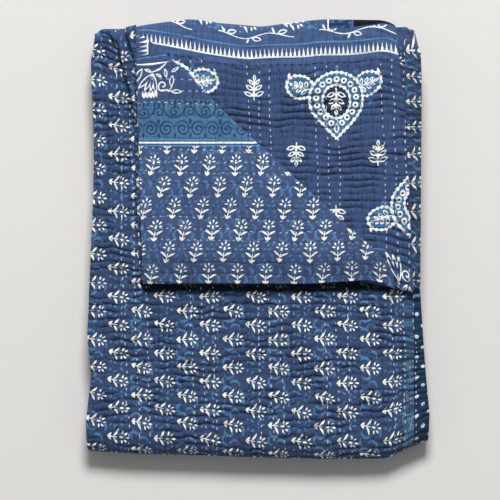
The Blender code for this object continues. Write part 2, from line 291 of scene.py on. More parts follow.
def stretch(name, rows, tau):
    """(x, s, n) and its normal for each row and tau: a straight line, or a half circle from cos and sin."""
    s = row_s[rows][:, None]
    left, fold, selvedge, end_d = row_edges[:, rows][:, :, None]
    left, fold = left + PLY_PITCH, fold - PLY_PITCH
    tau = tau[None, :]
    still = 0.0 * (s + tau)
    if name in PLY_OFFSETS:
        begin, end = {"a": (selvedge, left), "b": (left, fold), "c": (fold, left), "d": (left, end_d)}[name]
        up = 1.0 if name in "bd" else -1.0
        return begin + (end - begin) * tau, s + still, PLY_OFFSETS[name] + still, still, still, up + still
    if name in ("ab", "bc", "cd"):
        turn = (1.0 if name == "bc" else -1.0) * math.pi * tau - math.pi / 2
        centre, sign = {"ab": (left, 1.0), "bc": (fold, -1.0), "cd": (left, 1.0)}[name]
        n = (PLY_OFFSETS[name[0]] + PLY_OFFSETS[name[1]]) / 2 + FOLD_RADIUS * np.sin(turn)
        x = centre + FOLD_RADIUS * np.cos(turn)
        side = sign * np.cos(turn) + still, still, sign * np.sin(turn) + still
        return (x + still, s + still, n + still, *side)
    if name == "diagonal":
        turn = math.pi * tau - math.pi / 2
        out = np.cos(turn) * np.clip((row_s[-1] - s) / TIP_TAPER, TIP_LEFT, 1.0)
        reach, lift = FOLD_RADIUS * out, FOLD_RADIUS * np.sin(turn)
        x, along = end_d + reach * OUT_OF_FOLD[0], s + reach * OUT_OF_FOLD[1]
        side = [-out * OUT_OF_FOLD[0], -out * OUT_OF_FOLD[1], -np.sin(turn)]
        return (x, along, PLY_OFFSETS["d"] + FOLD_RADIUS + lift + still, *(v + still for v in side))
    down = tau * (s - LEG_S)
    return end_d + LEG_LEAN * down, s - down, PLY_OFFSETS["d"] + PLY_PITCH + still, still, still, still - 1.0


print("the turned corner's leg lies at Y", np.round(place(np.array([LEG_S]), np.array([0.0]), True)[0], 1))

# %% [markdown]
# ## Slow waves and the quilting
# Hand stitching never runs straight, so the ridges wander and some creases bite deeper than others. A few
# sine waves in seeded random directions, added up, give that unevenness and are the same on every run.
# A ridge is the size of a sine, round on top and sharp in the crease, as drawn-up cloth is. The ridges
# fade out where a skin goes in between two plies.

# %% Uneven waves and the ridges they bend
def wave(u, v, seed, count=5):
    """Sum of sines with random directions and phases, about one unit long, scaled to stay within one."""
    rng = np.random.default_rng(seed)
    total = 0.0
    for _ in range(count):
        angle, phase, pace = rng.uniform(0, 2 * math.pi), rng.uniform(0, 2 * math.pi), rng.uniform(0.6, 1.5)
        total = total + np.sin(2 * math.pi * pace * (u * math.cos(angle) + v * math.sin(angle)) + phase)
    return total / count


RIDGE_PITCH = 8.1
RIDGE_DEPTH = 1.25
ROUNDNESS = 0.75
SKIN_STRETCH = 1.62
TURNED = ("diagonal", "corner")
BORDER_START_Y, BORDER_FADE = 165.0, 35.0


def ridge_phase(x, s, seed, calm=1.0):
    """Ridges passed along s: whole numbers are creases. Three waves, each finer and weaker, make it sway."""
    sway = 0.55 * wave(x / 190, s / 210, seed) + 0.5 * wave(x / 66, s / 95, seed + 1)
    return s / RIDGE_PITCH + calm * (sway + 0.30 * wave(x / 27, s / 48, seed + 2))


def ridge_bite(x, s, seed):
    """How hard the stitches pull here, from a tenth to one and a third of the usual."""
    patches = 0.9 * wave(x / 90, s / 60, seed + 3) + 1.0 * wave(x / 36, s / 21, seed + 4)
    return np.clip(0.7 + patches, 0.12, 1.3)


def shown(s, first, last, fade=9.0):
    """One between two lengths of the strip, and down to zero over fade millimetres inside each of them."""
    return np.clip(np.minimum(s - first, last - s) / fade, 0.0, 1.0)


FRONT_SHOWN = (COARSE_ROWS[-1], START[TOP_TURN])
FLAP_SHOWN = (START[FLAP], START[DROOP] + LENGTH[DROOP] + 9.0)
QUILTED = {("d", 1): 11, ("cd", 1): 11, ("ab", 1): 31, ("c", -1): 47, ("bc", -1): 47}


def quilting(name, side):
    """The seed and sway of a skin's ridges, and whether its stitch lines run across the packet."""
    if name in TURNED:
        return 47, 0.8, True
    return QUILTED.get((name, side), 11), (1.0 if side > 0 else 0.8), False


def on_skin(s, side):
    """Length as the outer skin has it: the round bottom edge stretches it by SKIN_STRETCH."""
    past = np.clip(START[FRONT] - s, 0.0, LENGTH[BIG_TURN])
    return s - (SKIN_STRETCH - 1.0) * past * (side > 0)


def ridge_map(name, side, x, s):
    """Phase and bite of a skin's ridges, weak in the border of the flap and on the turned corner."""
    seed, calm, turned = quilting(name, side)
    border = np.clip((s - START[FLAP] + FLAP_TURN_Y - BORDER_START_Y) / BORDER_FADE, 0.0, 1.0)
    along, across = (x, s) if turned else (on_skin(s, side), x)
    calmer = 0.35 if turned else 1.0 - 0.65 * border * (side < 0)
    return ridge_phase(across, along, seed, calm), ridge_bite(across, along, seed) * calmer


def relief(name, side, x, s, tau):
    """The quilting on the skins that show, faded out where a skin goes in between two plies."""
    front, flap = shown(s, *FRONT_SHOWN), shown(s, *FLAP_SHOWN)
    share = {
        ("d", 1): front,
        ("cd", 1): front * np.clip(2.0 * tau, 0.0, 1.0),
        ("ab", 1): (front + flap) * np.sin(math.pi * tau),
        ("c", -1): 0.9 * flap * np.clip((x + 120.0) / 20.0, 0.0, 1.0),
        ("bc", -1): 0.9 * flap * tau,
        ("diagonal", -1): flap * tau,
        ("corner", -1): flap,
    }.get((name, side), 0.0 * (x + s))
    phase, bite = ridge_map(name, side, x, s)
    return share * RIDGE_DEPTH * bite * (np.abs(np.sin(math.pi * phase)) ** ROUNDNESS - 1.0)


probe = ridge_bite(np.linspace(-150, 150, 400)[None, :], np.linspace(0, 200, 300)[:, None], 11)
print(f"the creases' bite goes from {probe.min():.2f} to {probe.max():.2f} and averages {probe.mean():.2f}")

# %% [markdown]
# ## How the packet settles
# The folded strip is exact; a real packet isn't. The whole room is bent instead of each ply: every point,
# inside or out, is moved by the same soft function of where it is. Neighbouring plies move together, so
# none of them can pass through the next. Heights are only scaled, those of the flap above its own floor
# and all others above the table, which keeps the underside flat.

# %% Bend the room the packet lies in
def smooth_table(rows, column, width=34.0):
    """A table's values between its rows, averaged over width millimetres so that no corner shows."""
    rows = np.array(rows)
    x = np.arange(-260.0, 261.0, 1.0)
    kernel = np.hanning(int(width) | 1)
    padded = np.pad(np.interp(x, rows[:, 0], rows[:, column]), len(kernel) // 2, mode="edge")
    return x, np.convolve(padded, kernel / kernel.sum(), mode="valid")


END_SHAPE = (
    (-197.0, -4.0, 7.5),
    (-165.0, -6.0, 4.5),
    (-125.0, 2.0, 2.6),
    (-75.0, 8.5, 1.7),
    (-5.0, -1.5, -0.7),
    (75.0, 8.0, -2.9),
    (150.0, 7.0, -2.4),
    (200.0, -21.0, 20.0),
)
TOP_CURVE, BOTTOM_CURVE = smooth_table(END_SHAPE, 1), smooth_table(END_SHAPE, 2, 26)
FLAP_EDGE = ((-140.0, 0.0), (60.0, 0.0), (128.0, 4.5), (148.0, 1.0), (164.0, -9.0), (182.0, -16.0))
FLAP_CURVE = smooth_table(FLAP_EDGE, 1, 12)
FLAP_FLOOR = 4 * LAYER_PITCH - LAYER_GAP
FLAP_REACH, BOTTOM_REACH, TOP_START_Y = 70.0, 98.6, 120.0
FULL_LEFT, FULL_RIGHT, RIGHT_END = 9.0, 12.0, 9.0
SINK, SAG, SLOW_SWELL, QUICK_SWELL = 0.42, 0.06, 0.022, 0.008
LOW_SHARE, LOW_TOP, LOW_FADE = 0.3, 30.0, 22.0
LEFT_SIDE, RIGHT_SIDE, RIGHT_EDGE = (150.0, 184.0), (150.0, 168.0), (174.0, 192.0)
RIGHT_CORNER, LOWER_EDGE, LOWER_STRIP, TOP_LAYERS = (135.0, 182.0), (-35.0, 40.0), (14.0, 52.0), (44.0, 54.0)


def soft_step(v, low, high):
    t = np.clip((v - low) / (high - low), 0.0, 1.0)
    return t * t * (3.0 - 2.0 * t)


def settle(x, y, z):
    """Ends pushed out of line, top corners fuller, the flap's lower edge and both long sides sunk."""
    y = np.where(y < BOTTOM_TURN_Y, BOTTOM_TURN_Y + (y - BOTTOM_TURN_Y) * SLACK, y)
    near = np.clip((FLAP_TURN_Y + FLAP_REACH - y) / FLAP_REACH, 0.0, 1.0) * (z > FLAP_FLOOR)
    y = y + near * np.interp(x, *FLAP_CURVE)
    share = LOW_SHARE + (1.0 - LOW_SHARE) * np.clip((z - LOW_TOP) / LOW_FADE, 0.0, 1.0)
    top = np.clip((y - TOP_START_Y) / (TOP_TURN_Y - TOP_START_Y), 0.0, 1.0) * share
    bottom = np.clip((BOTTOM_TURN_Y + BOTTOM_REACH - y) / BOTTOM_REACH, 0.0, 1.0)
    y = y + top * np.interp(x, *TOP_CURVE) + bottom * np.interp(x, *BOTTOM_CURVE)
    right = FULL_RIGHT * soft_step(x, *RIGHT_SIDE) - RIGHT_END * soft_step(x, *RIGHT_EDGE)
    full = FULL_LEFT * soft_step(-x, *LEFT_SIDE) + right * (1.0 - soft_step(z, *TOP_LAYERS))
    y = y + full * np.clip((y - TOP_START_Y) / (TOP_TURN_Y - TOP_START_Y), 0.0, 1.0)
    corner = soft_step(x, *RIGHT_CORNER) * soft_step(-y, *LOWER_EDGE)
    lip = soft_step(-y, *LOWER_STRIP) * (1.0 - corner)
    z = np.where(z > FLAP_FLOOR, FLAP_FLOOR + (z - FLAP_FLOOR) * (1.0 - SINK * corner - SINK * lip), z)
    lift = 1.0 - SAG * ((x + 25.0) / 200.0) ** 2 + SLOW_SWELL * wave(x / 170, y / 150, 5)
    lift = lift + QUICK_SWELL * wave(x / 60, y / 70, 6)
    return x - MIDDLE[0], y - MIDDLE[1], z * lift


print("the middle of the front face settles to", np.round(settle(0.0, -150.0, 43.75)[2], 1), "mm")

# %% [markdown]
# ## The two skins and the rim
# Each stretch becomes two grids, one for each face of the cloth, set off from its middle by half the cloth's
# thickness. Where a fine grid meets a coarse one, each coarse face takes in all the fine points along that
# side, so no crack is left. A rim closes the sheet at its hems, and equal points are merged at the end.

# %% Grids of the two skins
COARSE = {"a": 4, "ab": 5, "b": 4, "bc": 5, "c": 4, "cd": 5, "d": 4, "diagonal": 6, "corner": 5}
FINE = {("d", 1, 1): 100, ("c", -1, 3): 88, ("corner", -1, 3): 75}
STRETCHES = ("a", "ab", "b", "bc", "c", "cd", "d")
BORDER_BENDS = (
    (-126.0, 12.1),
    (-75.0, -2.6),
    (-54.0, -4.4),
    (-24.0, -5.0),
    (9.0, -4.1),
    (51.0, -7.6),
    (108.0, -6.8),
    (164.0, 0.3),
)
CORNER_SLIPS = ((-84.0, 18.0), (-59.0, 13.6), (-34.0, 8.5), (-8.0, 4.0), (17.0, 1.7), (40.0, 0.0))
BORDER_BEND, CORNER_SLIP = smooth_table(BORDER_BENDS, 1), smooth_table(CORNER_SLIPS, 1)


def tau_of(name, side, block):
    return np.linspace(0.0, 1.0, FINE.get((name, side, block), COARSE[name]) + 1)


def bent_print(name, side, x, s):
    """A point's place in the print, which two tables bend as the quilting gathered the cloth."""
    y = s - START[FLAP] + FLAP_TURN_Y
    if name in TURNED and side < 0:
        slip = np.interp(-y, *CORNER_SLIP) * (1.0 - 0.5 * np.clip((x + 64.0) / 115.0, 0.0, 1.0))
        return x - slip, s
    if side < 0:
        return x, s - np.interp(x, *BORDER_BEND) * np.clip((y - 60.0) / 130.0, 0.0, 1.0)
    return x, on_skin(s, side)


def skin(name, side, rows, tau):
    """Points of one skin, and for each its place (x, s) in the print with its ridge phase and bite."""
    x, s, n, nx, ns, nn = stretch(name, rows, tau)
    out = side * (THICK / 2 + relief(name, side, x, s, tau[None, :]))
    y, z = place(s + ns * out, n + nn * out, name in TURNED)
    points = np.stack(settle(x + nx * out, y, z), axis=-1)
    print_x, print_s = bent_print(name, side, x, s)
    phase, bite = ridge_map(name, side, x, s)
    return points, np.stack([print_x * MM, print_s * MM, phase, bite], axis=-1)


points, prints, faces, kinds, ranges = [], [], [], [], {}


def keep(grid, plan):
    """Adds a grid's points to the sheet's and returns their numbers, in the grid's shape."""
    start = sum(len(p) for p in points)
    points.append(grid.reshape(-1, 3))
    prints.append(plan.reshape(-1, 4))
    return start + np.arange(grid.shape[0] * grid.shape[1]).reshape(grid.shape[:2])


def quads(numbers, kind):
    corners = [numbers[:-1, :-1], numbers[:-1, 1:], numbers[1:, 1:], numbers[1:, :-1]]
    block = np.stack(corners, axis=-1).reshape(-1, 4)
    faces.extend(block.tolist())
    kinds.extend([kind] * len(block))


def stitch(first, second, kind):
    """Faces between two lines of points, one a finer cut of the other: each coarse step takes its share."""
    steps = min(len(first), len(second)) - 1
    cut_a, cut_b = (len(first) - 1) // steps, (len(second) - 1) // steps
    for k in range(steps):
        lower = first[k * cut_a : (k + 1) * cut_a + 1].tolist()
        upper = second[k * cut_b : (k + 1) * cut_b + 1].tolist()
        faces.append(lower + upper[::-1])
        kinds.append(kind)


def skin_kind(name, side):
    if name in TURNED:
        return "corner" if side < 0 else "front"
    return "front" if side > 0 else "field"


for name in STRETCHES + TURNED:
    for side in (1, -1):
        blocks = [3] if name in TURNED else [0, 1, 2, 3]
        held = {}
        for b in blocks:
            rows = np.arange(BLOCKS[b], BLOCKS[b + 1] + 1)
            held[b] = keep(*skin(name, side, rows, tau_of(name, side, b)))
        for b in blocks:
            numbers, width = held[b], held[b].shape[1]
            low = b - 1 in held and held[b - 1].shape[1] > width
            high = b + 1 in held and held[b + 1].shape[1] > width
            quads(numbers[int(low) : len(numbers) - int(high)], skin_kind(name, side))
            if low:
                stitch(held[b - 1][-1], numbers[1], skin_kind(name, side))
            if high:
                stitch(numbers[-2], held[b + 1][0], skin_kind(name, side))
        ranges[name, side] = held
print(sum(len(p) for p in points), "points in", len(faces), "faces before the rim")

# %% Close the rim: the two ends of the strip, the selvedges and the turned corner's hem
def hem(name, block, line):
    """Faces between the two skins of a block, along one line of their points."""
    stitch(ranges[name, 1][block][line], ranges[name, -1][block][line], "hem")


LEFT_LINE, RIGHT_LINE = np.s_[:, 0], np.s_[:, -1]
for name in STRETCHES + TURNED:
    hem(name, min(ranges[name, 1]), 0)
    hem(name, 3, -1)
for b in range(4):
    hem("a", b, LEFT_LINE)
    if b < 3:
        hem("d", b, RIGHT_LINE)
hem("corner", 3, RIGHT_LINE)
print(len(faces), "faces with the rim")

# %% [markdown]
# ## One closed mesh with a print map
# The print map gives every corner of every face its place on the flat cloth in metres, so prints and weave
# bend with the folds and never slide. It is filled before equal points are merged, because two plies can
# share a point and still belong to different places in the print.

# %% Merge equal points and build the bedspread
def add_object(name, data, location=(0.0, 0.0, 0.0)):
    thing = bpy.data.objects.new(name, data)
    thing.location = location
    bpy.context.scene.collection.objects.link(thing)
    return thing


KINDS = ["front", "field", "corner", "hem"]
all_points, all_prints = np.concatenate(points), np.concatenate(prints)
grid = np.round(all_points * 1e5 + 0.1234)
_, first_seen, merged = np.unique(grid, axis=0, return_index=True, return_inverse=True)
merged = merged.reshape(-1)
corners = np.concatenate([np.array(face) for face in faces])
mesh = bpy.data.meshes.new("bedspread_cloth")
merged_faces = [merged[np.array(face)].tolist() for face in faces]
mesh.from_pydata((all_points[first_seen] * MM).tolist(), [], merged_faces)
for title, pair in (("print_map", slice(0, 2)), ("ridge_map", slice(2, 4))):
    layer = mesh.uv_layers.new(name=title)
    layer.data.foreach_set("uv", all_prints[corners, pair].astype(np.float32).ravel())
mesh.polygons.foreach_set("material_index", np.array([KINDS.index(kind) for kind in kinds], dtype=np.int32))
mesh.validate()

bm = bmesh.new()
bm.from_mesh(mesh)
bmesh.ops.recalc_face_normals(bm, faces=bm.faces)
open_edges = sum(not edge.is_manifold for edge in bm.edges)
cloth_area = sum(face.calc_area() for face in bm.faces) / 2
volume = bm.calc_volume()
bm.to_mesh(mesh)
bm.free()
mesh.polygons.foreach_set("use_smooth", np.ones(len(mesh.polygons), dtype=bool))
bedspread = add_object("bedspread_cloth", mesh)
triangles = sum(len(face) - 2 for face in faces)
print(f"{triangles} triangles, {open_edges} open edges, {cloth_area:.2f} square metres of cloth")
print(f"the cloth is {1000 * volume / cloth_area:.2f} mm thick on average")

# %% [markdown]
# ## Formulas as nodes
# The cloth is hand-printed with carved wooden blocks and then dyed with indigo. A picture of it could be
# wrapped round the folds, but a formula stays sharp at any size and needs no file. Math nodes can hold such
# a formula, and this small class lets a chain of them be written down as the formula it stands for.

# %% A number that changes over the cloth
class Field:
    """One output of a node, on which + - * / and the usual functions each add a Math node."""

    def __init__(self, tree, socket):
        self.tree, self.socket = tree, socket

    def math(self, operation, *others):
        node = self.tree.nodes.new("ShaderNodeMath")
        node.operation = operation
        fill(self.tree, node.inputs, (self, *others))
        return Field(self.tree, node.outputs[0])

    def __add__(self, other):
        return self.math("ADD", other)

    def __sub__(self, other):
        return self.math("SUBTRACT", other)

    def __rsub__(self, other):
        return self.math("MULTIPLY_ADD", -1.0, other)

    def __mul__(self, other):
        return self.math("MULTIPLY", other)

    def __truediv__(self, other):
        return self.math("DIVIDE", other)

    def __abs__(self):
        return self.math("ABSOLUTE")

    __radd__, __rmul__ = __add__, __mul__


def fill(tree, slots, values):
    """Links each field to its slot, and sets the slot to any other value."""
    for slot, value in zip(slots, values):
        if isinstance(value, Field):
            tree.links.new(value.socket, slot)
        else:
            slot.default_value = value


def length_of(u, v):
    return (u * u + v * v).math("SQRT")


def larger(first, *others):
    for other in others:
        first = first.math("MAXIMUM", other)
    return first


def smaller(first, *others):
    for other in others:
        first = first.math("MINIMUM", other)
    return first


def inside(depth, soft=0.3):
    """One where a depth in millimetres is positive, zero where it's negative, with a soft edge between."""
    return smaller(larger(depth / soft + 0.5, 0.0), 1.0)


def ring(depth, width):
    """The depth of a line that follows a shape's edge on its inner side."""
    return width / 2 - abs(depth - width / 2)


def between(value, low, high):
    return smaller(value - low, high - value)


def within(value, low, high, soft=0.3):
    return inside(between(value, low, high), soft)


def nearest(value, pitch, start=0.0):
    """The number of the nearest line of a row of lines, and how far off it a place lies."""
    number = ((value - start) / pitch).math("ROUND")
    return number, value - start - number * pitch


def odd(number):
    return abs(number).math("MODULO", 2.0)


print("formulas are ready, such as inside(ring(depth, 1.2))")

# %% [markdown]
# ## Node groups
# An effect that several cloths share is a node group with named inputs and outputs. A group gives out only
# masks and heights, and each material decides what colour a mask stands for. Places in the print and sizes
# of motifs are millimetres throughout.

# %% Make a group, and place it in a tree
def new_group(name, inputs, outputs):
    group = bpy.data.node_groups.new(name, "ShaderNodeTree")
    for in_out, titles in (("INPUT", inputs), ("OUTPUT", outputs)):
        for title in titles:
            group.interface.new_socket(name=title, in_out=in_out, socket_type="NodeSocketFloat")
    entry = group.nodes.new("NodeGroupInput")
    return group, [Field(group, entry.outputs[title]) for title in inputs]


def give_out(group, *values):
    """Links the group's results to its outputs, in their order."""
    fill(group, group.nodes.new("NodeGroupOutput").inputs, values)


def apply_group(group, *values):
    """Places the group in the tree of the first value and returns its outputs as fields."""
    tree = values[0].tree
    node = tree.nodes.new("ShaderNodeGroup")
    node.node_tree = group
    fill(tree, node.inputs, values)
    return [Field(tree, out) for out in node.outputs]


def noise(u, v, detail, seed):
    """Blender's own noise at (u, v), which averages a half: three numbers that don't depend on each other."""
    tree = u.tree
    at = tree.nodes.new("ShaderNodeCombineXYZ")
    fill(tree, at.inputs, (u, v, seed))
    node = tree.nodes.new("ShaderNodeTexNoise")
    node.inputs["Scale"].default_value = 1.0
    node.inputs["Detail"].default_value = detail
    tree.links.new(at.outputs[0], node.inputs["Vector"])
    parts = tree.nodes.new("ShaderNodeSeparateColor")
    tree.links.new(node.outputs["Color"], parts.inputs[0])
    return [Field(tree, out) for out in parts.outputs]


def petal(u, v, at, degrees, half_length, half_width, bend=0.0):
    """Depth inside a pointed leaf: its half width falls as 1 - (along / half length) squared."""
    c, s = math.cos(math.radians(degrees)), math.sin(math.radians(degrees))
    u, v = u - at[0], v - at[1]
    along, across = u * c + v * s, v * c - u * s
    if bend:
        across = across + along * along * bend
    return half_width - along * along * (half_width / half_length**2) - abs(across)


def petals(u, v, *rows):
    """Depth inside any of several leaves: a row is a leaf's place (two numbers), its angle and its sizes."""
    return larger(*(petal(u, v, row[:2], *row[2:]) for row in rows))


def spiral(u, v, pitch, half_line, size):
    """Depth inside a line that is wound round the middle of (u, v), out to a size."""
    reach, turn = length_of(u, v), v.math("ARCTAN2", u)
    off = abs((reach / pitch - turn / (2 * math.pi)).math("FRACT") - 0.5) * pitch
    return smaller(half_line - off, size - reach)


# %% Hand wobble, slubby weave and uneven dye
wobble, (x, y) = new_group("hand_wobble", ["X", "Y"], ["X", "Y"])
slow = noise(x / 38.0, y / 38.0, 2.0, 3.0)
quick = noise(x / 5.0, y / 5.0, 1.0, 7.0)
moved = [axis + (slow[k] - 0.5) * 3.4 + (quick[k] - 0.5) * 0.7 for k, axis in enumerate((x, y))]
give_out(wobble, *moved)

weave, (x, y, streaks) = new_group("slubby_weave", ["X", "Y", "Streaks"], ["Tone", "Height"])
warp = noise(x / 2.1, y / 15.0, 2.0, 1.0)[0]
weft = noise(x / 34.0, y / 1.7, 2.0, 2.0)[0]
fine = noise(x / 0.55, y / 0.9, 0.0, 4.0)[0]
cloud = noise(x / 60.0, y / 60.0, 3.0, 5.0)[0]
thread = (warp - 0.5) * streaks + (weft - 0.5) * 0.75 + (fine - 0.5) * 0.35
give_out(weave, 1.0 + thread * 0.42 + (cloud - 0.5) * 0.35, thread * 0.16)

# %% [markdown]
# ## Quilting
# The mesh has the ridges themselves. The material adds what is finer than the mesh: the narrow valley along
# each crease, painted shade in each crease and on one side of each ridge, and the running stitches. A running
# stitch shows as a dash on top of each ridge, and three lines of dark thread are followed by three in white.

# %% Creases and running stitches
creases, (phase, bite, across) = new_group(
    "quilted_creases", ["Phase", "Bite", "Across"], ["Shade", "Height"]
)
# The shade output is painted shade: the colour is darkened along each crease, broken up by noise, and one
# side of each ridge is made darker than the other.
broken = noise(across / 4.5, phase * 1.3, 2.0, 43.0)[0]
rise = abs((phase * math.pi).math("SINE"))
valley = larger(1.0 - rise * 1.25, 0.0).math("POWER", 1.5)
slope = (phase * (2.0 * math.pi)).math("SINE") * bite
shade = smaller(larger(1.08 - valley * bite * (broken * 2.7 - 0.55) - slope * 0.08, 0.2), 1.2)
give_out(creases, shade, rise.math("POWER", 0.8) * bite * 0.7 - valley * bite * 0.3)

STITCH_LINES = 12.8
stitches, (across, along, phase) = new_group(
    "running_stitches", ["Across", "Along", "Phase"], ["White", "Dark", "Height"]
)
sway = noise(across / 40.0, along / 55.0, 1.0, 9.0)
number, off = nearest(across + along * 0.03 + (sway[0] - 0.5) * 9.0, STITCH_LINES)
top = abs(phase.math("FRACT") - 0.5)
uneven = noise(number * 3.7, phase / 1.3, 0.0, 11.0)
half_dash = 0.16 + (uneven[0] - 0.5) * 0.26
dash = smaller(0.5 - abs(off + (uneven[1] - 0.5) * 1.2), (half_dash - top) * RIDGE_PITCH)
group_of_six = number - (number / 6.0).math("FLOOR") * 6.0
white = inside(2.5 - group_of_six)
seen = inside(dash, 0.35)
pulled = larger(1.0 - abs(off) / 2.6, 0.0)
give_out(stitches, seen * white, seen * (1.0 - white), seen * 0.3 - pulled * pulled * 0.55)
print("groups so far:", [group.name for group in bpy.data.node_groups])

# %% [markdown]
# ## Block-printed motifs
# The motifs are drawn for this part in the manner that such prints have had for centuries: a small flower
# sprig called a buti, leaf sprigs, a row of temple spires, and scalloped shields. Each is a few pointed
# leaves, whose depths are joined by taking the larger one, and mirror symmetry halves their number.

# %% A flower buti and a leaf sprig
buti, (u, v) = new_group("block_buti", ["Along", "Across"], ["Cream", "Blue", "Outline"])
side = abs(v)
foot = larger(smaller((u + 12.6) * 0.55 - side, -8.0 - u), petal(u, side, (-9.6, 1.9), 38.0, 2.9, 0.95))
stem = smaller(0.55 - side, between(u, -11.0, -1.0))
arms = petal(u, side, (-2.2, 4.3), 56.0, 5.0, 1.2, -0.03)
heart = petal(u, side, (3.7, 0.0), 0.0, 2.5, 1.25)
reach, turn = length_of(u - 3.8, v), side.math("ARCTAN2", u - 3.8)
spoke = smaller((turn / 0.69).math("ROUND"), 2.0)
apart = turn - spoke * 0.69
drop_u, drop_v = reach * apart.math("COSINE") + spoke * 0.95, reach * apart.math("SINE")
drops = petal(drop_u, drop_v, (7.1, 0.0), 0.0, 2.3, 1.0)
depth = larger(foot, stem, arms, heart, drops)
give_out(buti, inside(depth), inside(petal(u, side, (4.0, 0.0), 0.0, 6.5, 4.4)), inside(depth + 0.9, 0.5))

sprig, (u, v) = new_group("leaf_sprig", ["Across", "Up"], ["Line"])
side = abs(u)
leaves = petals(
    side,
    v,
    (5.9, -7.2, 22, 6.0, 2.7),
    (5.0, 0.0, 34, 5.2, 2.5),
    (3.5, 6.3, 50, 4.4, 2.1),
    (0.0, 11.4, 90, 4.1, 2.0),
)
heart = smaller(leaves, 3.0 - side - v * 0.1, 7.0 - v)
stem = smaller(1.1 - side - v * 0.03, between(v, -10.0, 8.5))
foot = smaller(0.65 - side, between(v, -14.5, -8.0))
give_out(sprig, inside(larger(ring(leaves, 1.4), stem, foot, heart)))

# %% A field of butis with crescents, drops and dots between them
BUTI_PITCH, BUTI_REPEAT = 26.335, 32.78
field_of_butis, (p, q, pitch, lean) = new_group(
    "field_of_butis", ["Along", "Across", "Pitch", "Lean"], ["Cream", "Blue", "Outline"]
)
column = (p / pitch).math("ROUND")
half_drop = odd(column)
p = p - column * pitch
row, q = nearest(q - half_drop * (BUTI_REPEAT / 2), BUTI_REPEAT)
own = noise(column * 7.3, row * 5.9, 0.0, 13.0)
tilt = (own[2] - 0.5) * 0.5 + lean
u, v = p + (own[0] - 0.5) * 1.6, q + (own[1] - 0.5) * 1.6
cream, glow, outline = apply_group(buti, u + v * tilt, v - u * tilt)
below = q.math("SIGN")
gap, gap_row = q - below * (BUTI_REPEAT / 2), row + below * 0.5
chance = noise(column * 3.1 + 0.4, gap_row * 4.3 + half_drop * 1.7, 0.0, 17.0)
other = noise(column * 4.7 + 0.7, gap_row * 3.9 + half_drop * 2.3, 0.0, 21.0)
CRESCENTS = (
    (2.0, -3.6, 5.2, 65.0, chance[0]),
    (-4.6, 10.2, 5.4, -95.0, chance[1]),
    (-6.6, -10.4, 5.2, 80.0, chance[2]),
    (-7.4, 1.6, 4.8, 180.0, other[0]),
    (7.6, 9.4, 4.4, 20.0, other[1]),
)
moons = []
for along, across, radius, degrees, luck in CRESCENTS:
    du, dv = p - along, gap - across + (luck - 0.5) * 5.0
    facing = (dv.math("ARCTAN2", du) - math.radians(degrees) - (luck - 0.5) * 3.0).math("COSINE")
    moons.append(smaller(facing * 1.45 + 0.15 - abs(length_of(du, dv) - radius), (luck - 0.38) * 20.0))
drops = larger(
    petals(p, abs(gap), (3.6, 3.0, 62, 2.7, 1.3), (-3.8, 5.2, -35, 2.8, 1.3)),
    petals(p, gap, (8.2, 1.0, 15, 2.4, 1.2), (-9.0, -3.0, 75, 2.2, 1.1)),
    1.5 - length_of(abs(p) - 8.8, gap - 7.0),
    1.3 - length_of(p - 1.0, gap + 9.5),
)
halo = smaller(1.1 - abs(length_of(u - 2.6, v) - 9.0), u * 1.2 - abs(v) + 1.0, (own[0] - 0.5) * 20.0)
few = inside(other[2] * 2.0 - abs(gap) * 0.07 - 0.3)
blue = larger(inside(larger(halo, *moons)) * half_drop, inside(drops) * (1.0 - half_drop) * few)
worn = noise(p / 3.0 + column * 9.0, q / 3.0 + row * 9.0, 2.0, 19.0)[0]
blue = larger(blue * inside(worn - 0.36, 0.25), glow * 0.45)
give_out(field_of_butis, cream * inside(worn - 0.27, 0.25), blue, outline)

# %% Temple spires: a row of thin white triangles on a line
spires, (along, up) = new_group("temple_spires", ["Along", "Up"], ["White"])
_, off = nearest(along, 5.0)
give_out(spires, inside(larger(smaller(1.6 - up * 0.165 - abs(off), up), between(up, -1.0, 0.5)), 0.35))
print("motif groups:", [group.name for group in (buti, sprig, field_of_butis, spires)])

# %% [markdown]
# ## Colours and the finish of the cloth
# Indigo in deeper and weaker dips, undyed cream and a near black make the whole bedspread.
# Each cloth lays such dyes over each other by its masks, and is then darkened by the weave's tone and by
# painted shade along the creases. The shader is the same for all: rough cotton, with a weak sheen from the
# fuzz on the thread.

# %% Dyes, and one finish for every cloth
def dye(red, green, blue):
    """A colour from 0 to 255 as a screen shows it, turned into the linear light that nodes work with."""
    shade = np.array((red, green, blue)) / 255
    linear = np.where(shade > 0.04045, ((shade + 0.055) / 1.055) ** 2.4, shade / 12.92)
    return (*linear.tolist(), 1.0)


INDIGO, NIGHT, SKY, CREAM = dye(58, 78, 118), dye(14, 25, 48), dye(86, 134, 178), dye(234, 238, 236)
STEEL, PALE_SKY, TEAL_NIGHT = dye(62, 108, 148), dye(71, 115, 152), dye(22, 50, 80)
FIELD_INDIGO, CORNER_INDIGO, BORDER_INDIGO = dye(54, 74, 113), dye(61, 80, 119), dye(63, 86, 127)
SHADE, WASHED_INDIGO, DULL_SKY = dye(28, 42, 74), dye(50, 69, 105), dye(77, 119, 162)
COTTON = {"Roughness": 0.9, "Specular IOR Level": 0.25, "Sheen Weight": 0.12, "Sheen Roughness": 0.45}


def mixed(mask, under, over, blend="MIX"):
    """A Mix node: the colour over, laid on the colour under by the mask."""
    tree = next(value.tree for value in (mask, under, over) if isinstance(value, Field))
    node = tree.nodes.new("ShaderNodeMix")
    node.data_type, node.blend_type = "RGBA", blend
    fill(tree, (node.inputs[0], node.inputs[6], node.inputs[7]), (mask, under, over))
    return Field(tree, node.outputs[2])


def layered(colour, *layers):
    """Dyes laid over a colour one after another, each by its own mask."""
    for mask, over in layers:
        colour = mixed(mask, colour, over)
    return colour


def grey(value):
    node = value.tree.nodes.new("ShaderNodeCombineColor")
    fill(value.tree, node.inputs, (value, value, value))
    return Field(value.tree, node.outputs[0])


